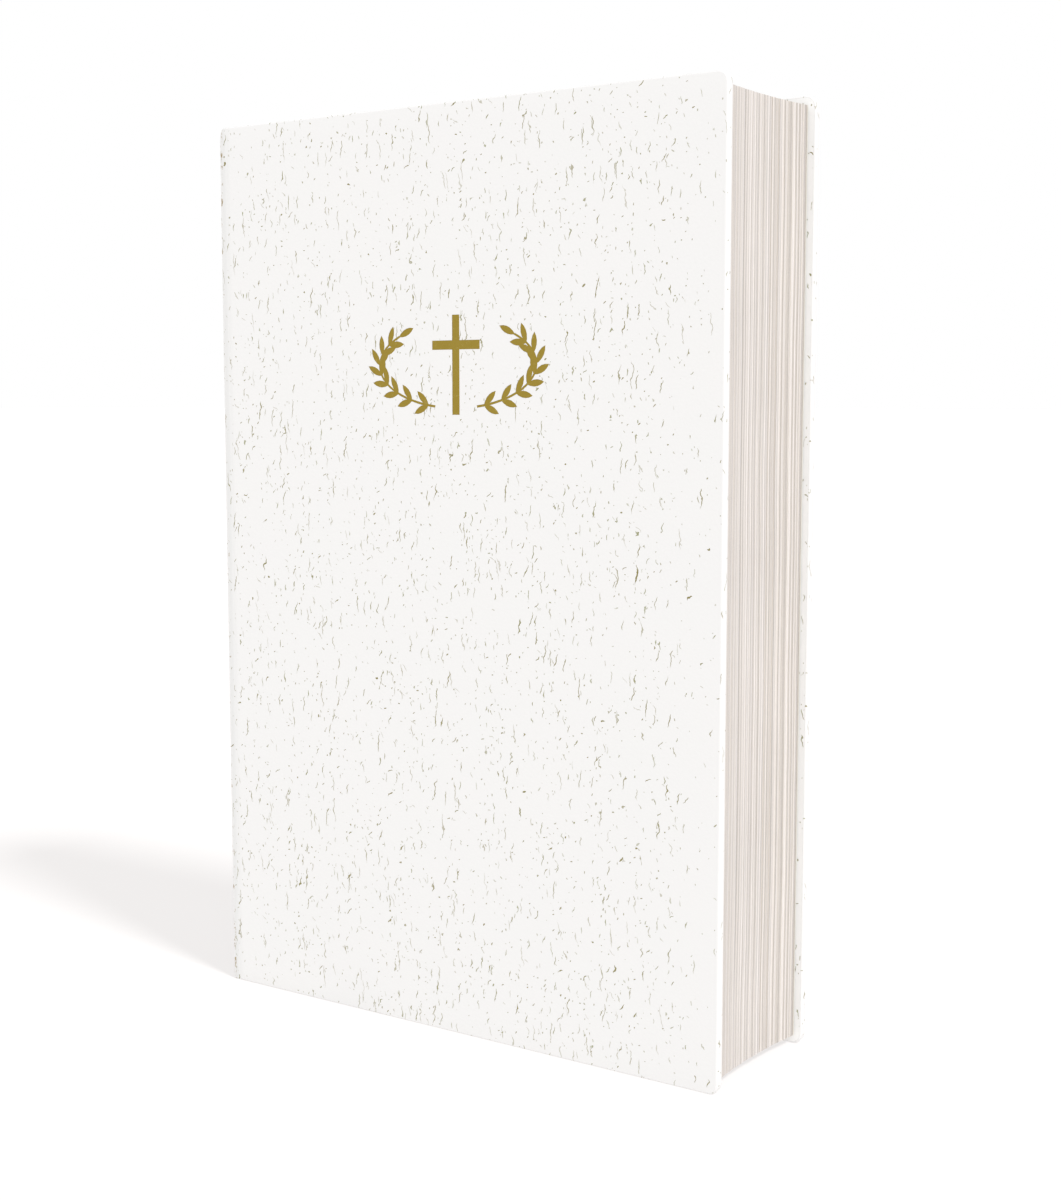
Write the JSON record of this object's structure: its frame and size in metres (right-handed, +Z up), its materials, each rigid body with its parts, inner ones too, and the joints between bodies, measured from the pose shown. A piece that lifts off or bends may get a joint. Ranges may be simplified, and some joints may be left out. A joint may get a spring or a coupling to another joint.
{
  "type": "bible",
  "caption": "Thick white leatherette-bound bible with hinged board covers, sewn signatures that fan as a cover opens, endbands and a gold foil cross between sprigs.",
  "frame": {"origin": "middle of the closed book's footprint, on the surface that its tail edge stands on", "axes": "+Z up the spine from tail to head, +X from spine to fore edge, the front cover faces -Y"},
  "size_m": [0.141, 0.0406, 0.21],
  "materials": {
    "leatherette": "satin white coated leatherette with a light grain and fine gold-olive crackle",
    "greyboard": "matte grey pulp board",
    "endpaper": "smooth uncoated off-white paper",
    "bible_paper": "thin uncoated warm cream paper, edges trimmed flush",
    "mull": "open-weave stiffened cotton",
    "kraft": "matte brown kraft paper",
    "linen": "waxed linen thread",
    "gold_foil": "hot-stamped antique gold foil, satin"
  },
  "bodies": {
    "spine": {"spine_leatherette": "leatherette", "spine_inlay": "greyboard", "spine_mull": "mull", "spine_kraft_lining": "kraft", "headband": "linen", "tailband": "linen", "sewing_thread_1": "linen", "sewing_thread_2": "linen", "sewing_thread_3": "linen", "sewing_thread_4": "linen", "sewing_thread_5": "linen", "foil_spine_cross": "gold_foil", "signature_13": "bible_paper"},
    "front_cover": {"front_cover_leatherette": "leatherette", "front_cover_board": "greyboard", "front_mull_flap": "mull", "front_pastedown": "endpaper", "foil_cross": "gold_foil", "foil_sprig_left": "gold_foil", "foil_sprig_right": "gold_foil"},
    "back_cover": {"back_cover_leatherette": "leatherette", "back_cover_board": "greyboard", "back_mull_flap": "mull", "back_pastedown": "endpaper"},
    "front_flyleaf": {"front_flyleaf": "endpaper"},
    "signature_01": {"signature_01": "bible_paper"},
    "signature_02": {"signature_02": "bible_paper"},
    "signature_03": {"signature_03": "bible_paper"},
    "signature_04": {"signature_04": "bible_paper"},
    "signature_05": {"signature_05": "bible_paper"},
    "signature_06": {"signature_06": "bible_paper"},
    "signature_07": {"signature_07": "bible_paper"},
    "signature_08": {"signature_08": "bible_paper"},
    "signature_09": {"signature_09": "bible_paper"},
    "signature_10": {"signature_10": "bible_paper"},
    "signature_11": {"signature_11": "bible_paper"},
    "signature_12": {"signature_12": "bible_paper"},
    "back_flyleaf": {"back_flyleaf": "endpaper"},
    "signature_25": {"signature_25": "bible_paper"},
    "signature_24": {"signature_24": "bible_paper"},
    "signature_23": {"signature_23": "bible_paper"},
    "signature_22": {"signature_22": "bible_paper"},
    "signature_21": {"signature_21": "bible_paper"},
    "signature_20": {"signature_20": "bible_paper"},
    "signature_19": {"signature_19": "bible_paper"},
    "signature_18": {"signature_18": "bible_paper"},
    "signature_17": {"signature_17": "bible_paper"},
    "signature_16": {"signature_16": "bible_paper"},
    "signature_15": {"signature_15": "bible_paper"},
    "signature_14": {"signature_14": "bible_paper"}
  },
  "joints": [
    {"name": "front_cover_hinge", "type": "hinge", "parent": "spine", "child": "front_cover", "pos_m": [-0.0665, -0.02045, 0.105], "axis": [0, 0, -1], "range_deg": [0, 179]},
    {"name": "back_cover_hinge", "type": "hinge", "parent": "spine", "child": "back_cover", "pos_m": [-0.0665, 0.02045, 0.105], "axis": [0, 0, 1], "range_deg": [0, 179]},
    {"name": "front_flyleaf_turn", "type": "hinge", "parent": "spine", "child": "front_flyleaf", "pos_m": [-0.0665, -0.02045, 0.105], "axis": [0, 0, -1], "range_deg": [0, 176]},
    {"name": "signature_01_turn", "type": "hinge", "parent": "spine", "child": "signature_01", "pos_m": [-0.0665, -0.02045, 0.105], "axis": [0, 0, -1], "range_deg": [0, 172.3]},
    {"name": "signature_02_turn", "type": "hinge", "parent": "spine", "child": "signature_02", "pos_m": [-0.0665, -0.02045, 0.105], "axis": [0, 0, -1], "range_deg": [0, 169]},
    {"name": "signature_03_turn", "type": "hinge", "parent": "spine", "child": "signature_03", "pos_m": [-0.0665, -0.02045, 0.105], "axis": [0, 0, -1], "range_deg": [0, 159.6]},
    {"name": "signature_04_turn", "type": "hinge", "parent": "spine", "child": "signature_04", "pos_m": [-0.0665, -0.02045, 0.105], "axis": [0, 0, -1], "range_deg": [0, 145.5]},
    {"name": "signature_05_turn", "type": "hinge", "parent": "spine", "child": "signature_05", "pos_m": [-0.0665, -0.02045, 0.105], "axis": [0, 0, -1], "range_deg": [0, 127.8]},
    {"name": "signature_06_turn", "type": "hinge", "parent": "spine", "child": "signature_06", "pos_m": [-0.0665, -0.02045, 0.105], "axis": [0, 0, -1], "range_deg": [0, 107.7]},
    {"name": "signature_07_turn", "type": "hinge", "parent": "spine", "child": "signature_07", "pos_m": [-0.0665, -0.02045, 0.105], "axis": [0, 0, -1], "range_deg": [0, 86.4]},
    {"name": "signature_08_turn", "type": "hinge", "parent": "spine", "child": "signature_08", "pos_m": [-0.0665, -0.02045, 0.105], "axis": [0, 0, -1], "range_deg": [0, 65.1]},
    {"name": "signature_09_turn", "type": "hinge", "parent": "spine", "child": "signature_09", "pos_m": [-0.0665, -0.02045, 0.105], "axis": [0, 0, -1], "range_deg": [0, 45.1]},
    {"name": "signature_10_turn", "type": "hinge", "parent": "spine", "child": "signature_10", "pos_m": [-0.0665, -0.02045, 0.105], "axis": [0, 0, -1], "range_deg": [0, 27.3]},
    {"name": "signature_11_turn", "type": "hinge", "parent": "spine", "child": "signature_11", "pos_m": [-0.0665, -0.02045, 0.105], "axis": [0, 0, -1], "range_deg": [0, 13.2]},
    {"name": "signature_12_turn", "type": "hinge", "parent": "spine", "child": "signature_12", "pos_m": [-0.0665, -0.02045, 0.105], "axis": [0, 0, -1], "range_deg": [0, 3.9]},
    {"name": "back_flyleaf_turn", "type": "hinge", "parent": "spine", "child": "back_flyleaf", "pos_m": [-0.0665, 0.02045, 0.105], "axis": [0, 0, 1], "range_deg": [0, 176]},
    {"name": "signature_25_turn", "type": "hinge", "parent": "spine", "child": "signature_25", "pos_m": [-0.0665, 0.02045, 0.105], "axis": [0, 0, 1], "range_deg": [0, 172.3]},
    {"name": "signature_24_turn", "type": "hinge", "parent": "spine", "child": "signature_24", "pos_m": [-0.0665, 0.02045, 0.105], "axis": [0, 0, 1], "range_deg": [0, 169]},
    {"name": "signature_23_turn", "type": "hinge", "parent": "spine", "child": "signature_23", "pos_m": [-0.0665, 0.02045, 0.105], "axis": [0, 0, 1], "range_deg": [0, 159.6]},
    {"name": "signature_22_turn", "type": "hinge", "parent": "spine", "child": "signature_22", "pos_m": [-0.0665, 0.02045, 0.105], "axis": [0, 0, 1], "range_deg": [0, 145.5]},
    {"name": "signature_21_turn", "type": "hinge", "parent": "spine", "child": "signature_21", "pos_m": [-0.0665, 0.02045, 0.105], "axis": [0, 0, 1], "range_deg": [0, 127.8]},
    {"name": "signature_20_turn", "type": "hinge", "parent": "spine", "child": "signature_20", "pos_m": [-0.0665, 0.02045, 0.105], "axis": [0, 0, 1], "range_deg": [0, 107.7]},
    {"name": "signature_19_turn", "type": "hinge", "parent": "spine", "child": "signature_19", "pos_m": [-0.0665, 0.02045, 0.105], "axis": [0, 0, 1], "range_deg": [0, 86.4]},
    {"name": "signature_18_turn", "type": "hinge", "parent": "spine", "child": "signature_18", "pos_m": [-0.0665, 0.02045, 0.105], "axis": [0, 0, 1], "range_deg": [0, 65.1]},
    {"name": "signature_17_turn", "type": "hinge", "parent": "spine", "child": "signature_17", "pos_m": [-0.0665, 0.02045, 0.105], "axis": [0, 0, 1], "range_deg": [0, 45.1]},
    {"name": "signature_16_turn", "type": "hinge", "parent": "spine", "child": "signature_16", "pos_m": [-0.0665, 0.02045, 0.105], "axis": [0, 0, 1], "range_deg": [0, 27.3]},
    {"name": "signature_15_turn", "type": "hinge", "parent": "spine", "child": "signature_15", "pos_m": [-0.0665, 0.02045, 0.105], "axis": [0, 0, 1], "range_deg": [0, 13.2]},
    {"name": "signature_14_turn", "type": "hinge", "parent": "spine", "child": "signature_14", "pos_m": [-0.0665, 0.02045, 0.105], "axis": [0, 0, 1], "range_deg": [0, 3.9]}
  ],
  "couplings": [
    {"joint": "front_flyleaf_turn", "follows": "front_cover_hinge", "ratio": 0.98},
    {"joint": "signature_01_turn", "follows": "front_cover_hinge", "ratio": 0.96},
    {"joint": "signature_02_turn", "follows": "front_cover_hinge", "ratio": 0.94111},
    {"joint": "signature_03_turn", "follows": "front_cover_hinge", "ratio": 0.88889},
    {"joint": "signature_04_turn", "follows": "front_cover_hinge", "ratio": 0.81},
    {"joint": "signature_05_turn", "follows": "front_cover_hinge", "ratio": 0.71111},
    {"joint": "signature_06_turn", "follows": "front_cover_hinge", "ratio": 0.59889},
    {"joint": "signature_07_turn", "follows": "front_cover_hinge", "ratio": 0.48},
    {"joint": "signature_08_turn", "follows": "front_cover_hinge", "ratio": 0.36111},
    {"joint": "signature_09_turn", "follows": "front_cover_hinge", "ratio": 0.24889},
    {"joint": "signature_10_turn", "follows": "front_cover_hinge", "ratio": 0.15},
    {"joint": "signature_11_turn", "follows": "front_cover_hinge", "ratio": 0.07111},
    {"joint": "signature_12_turn", "follows": "front_cover_hinge", "ratio": 0.01889},
    {"joint": "back_flyleaf_turn", "follows": "back_cover_hinge", "ratio": 0.98},
    {"joint": "signature_25_turn", "follows": "back_cover_hinge", "ratio": 0.96},
    {"joint": "signature_24_turn", "follows": "back_cover_hinge", "ratio": 0.94111},
    {"joint": "signature_23_turn", "follows": "back_cover_hinge", "ratio": 0.88889},
    {"joint": "signature_22_turn", "follows": "back_cover_hinge", "ratio": 0.81},
    {"joint": "signature_21_turn", "follows": "back_cover_hinge", "ratio": 0.71111},
    {"joint": "signature_20_turn", "follows": "back_cover_hinge", "ratio": 0.59889},
    {"joint": "signature_19_turn", "follows": "back_cover_hinge", "ratio": 0.48},
    {"joint": "signature_18_turn", "follows": "back_cover_hinge", "ratio": 0.36111},
    {"joint": "signature_17_turn", "follows": "back_cover_hinge", "ratio": 0.24889},
    {"joint": "signature_16_turn", "follows": "back_cover_hinge", "ratio": 0.15},
    {"joint": "signature_15_turn", "follows": "back_cover_hinge", "ratio": 0.07111},
    {"joint": "signature_14_turn", "follows": "back_cover_hinge", "ratio": 0.01889}
  ]
}
